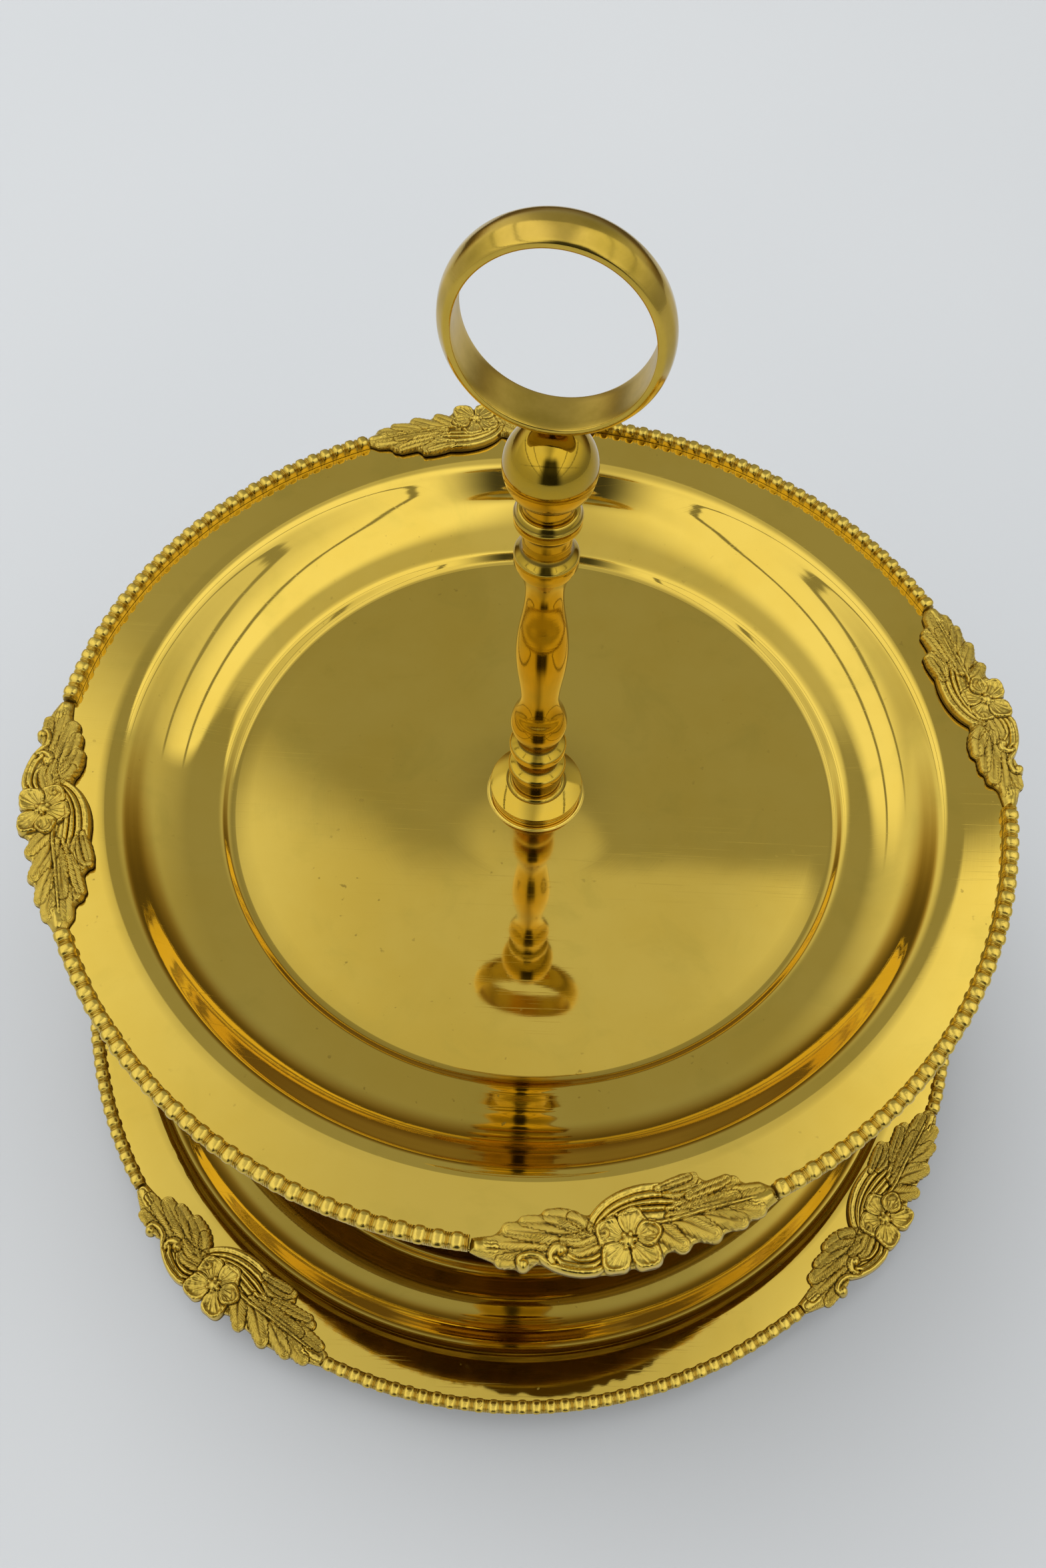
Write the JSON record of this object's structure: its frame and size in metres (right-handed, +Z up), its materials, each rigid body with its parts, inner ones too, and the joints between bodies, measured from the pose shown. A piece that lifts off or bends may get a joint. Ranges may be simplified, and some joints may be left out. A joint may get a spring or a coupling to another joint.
{
  "type": "tiered cake stand",
  "caption": "Two-tier brass cake stand: round dished trays with cast leaf ornaments and bead borders on a turned column with a ball and a ring handle.",
  "frame": {"origin": "centre of the flat underside of the lower tray, on the column's axis, at table level", "axes": "+Z up along the column; -Y towards the viewer, whom the ring handle faces; +X to the viewer's right"},
  "size_m": [0.301, 0.301, 0.2919],
  "materials": {
    "polished_brass": "mirror polished sheet brass with fine wiping scratches",
    "turned_brass": "lathe-turned brass, polished",
    "cast_brass": "satin cast brass with small pits, brighter on its high points",
    "ring_brass": "polished outside, satin-brushed inside",
    "steel": "plain bright steel",
    "fibre": "matte red vulcanised fibre"
  },
  "bodies": {
    "base": {"lower_tray": "polished_brass", "lower_bead_strip_1": "cast_brass", "lower_bead_strip_2": "cast_brass", "lower_bead_strip_3": "cast_brass", "lower_bead_strip_4": "cast_brass", "lower_ornament_1": "cast_brass", "lower_ornament_2": "cast_brass", "lower_ornament_3": "cast_brass", "lower_ornament_4": "cast_brass", "base_screw": "steel", "base_washer": "steel"},
    "column_foot": {"lower_flange": "turned_brass"},
    "lower_stem": {"lower_column": "turned_brass", "tray_washer": "fibre", "tier_stud": "steel"},
    "upper_tier": {"upper_tray": "polished_brass", "upper_bead_strip_1": "cast_brass", "upper_bead_strip_2": "cast_brass", "upper_bead_strip_3": "cast_brass", "upper_bead_strip_4": "cast_brass", "upper_ornament_1": "cast_brass", "upper_ornament_2": "cast_brass", "upper_ornament_3": "cast_brass", "upper_ornament_4": "cast_brass"},
    "upper_foot": {"upper_flange": "turned_brass"},
    "upper_stem": {"upper_column": "turned_brass"},
    "handle_thread": {"handle_stud": "steel"},
    "handle": {"handle_ball": "turned_brass", "handle_ring": "ring_brass"}
  },
  "joints": [
    {"name": "lower_column_rise", "type": "slide", "parent": "base", "child": "column_foot", "axis": [0, 0, 1], "range_m": [0, 0.008]},
    {"name": "lower_column_unscrew", "type": "hinge", "parent": "column_foot", "child": "lower_stem", "pos_m": [0, 0, 0.0075], "axis": [0, 0, 1], "range_deg": [0, 2882]},
    {"name": "upper_tray_turn", "type": "hinge", "parent": "lower_stem", "child": "upper_tier", "pos_m": [0, 0, 0.1247], "axis": [0, 0, 1], "continuous": true},
    {"name": "upper_column_rise", "type": "slide", "parent": "lower_stem", "child": "upper_foot", "axis": [0, 0, 1], "range_m": [0, 0.01]},
    {"name": "upper_column_unscrew", "type": "hinge", "parent": "upper_foot", "child": "upper_stem", "pos_m": [0, 0, 0.1247], "axis": [0, 0, 1], "range_deg": [0, 3602]},
    {"name": "handle_rise", "type": "slide", "parent": "upper_stem", "child": "handle_thread", "axis": [0, 0, 1], "range_m": [0, 0.0064]},
    {"name": "handle_unscrew", "type": "hinge", "parent": "handle_thread", "child": "handle", "pos_m": [0, 0, 0.2315], "axis": [0, 0, 1], "range_deg": [0, 2882]}
  ],
  "couplings": [
    {"joint": "lower_column_unscrew", "follows": "lower_column_rise", "rad_per_m": 6283.2},
    {"joint": "upper_column_unscrew", "follows": "upper_column_rise", "rad_per_m": 6283.2},
    {"joint": "handle_unscrew", "follows": "handle_rise", "rad_per_m": 7854}
  ]
}
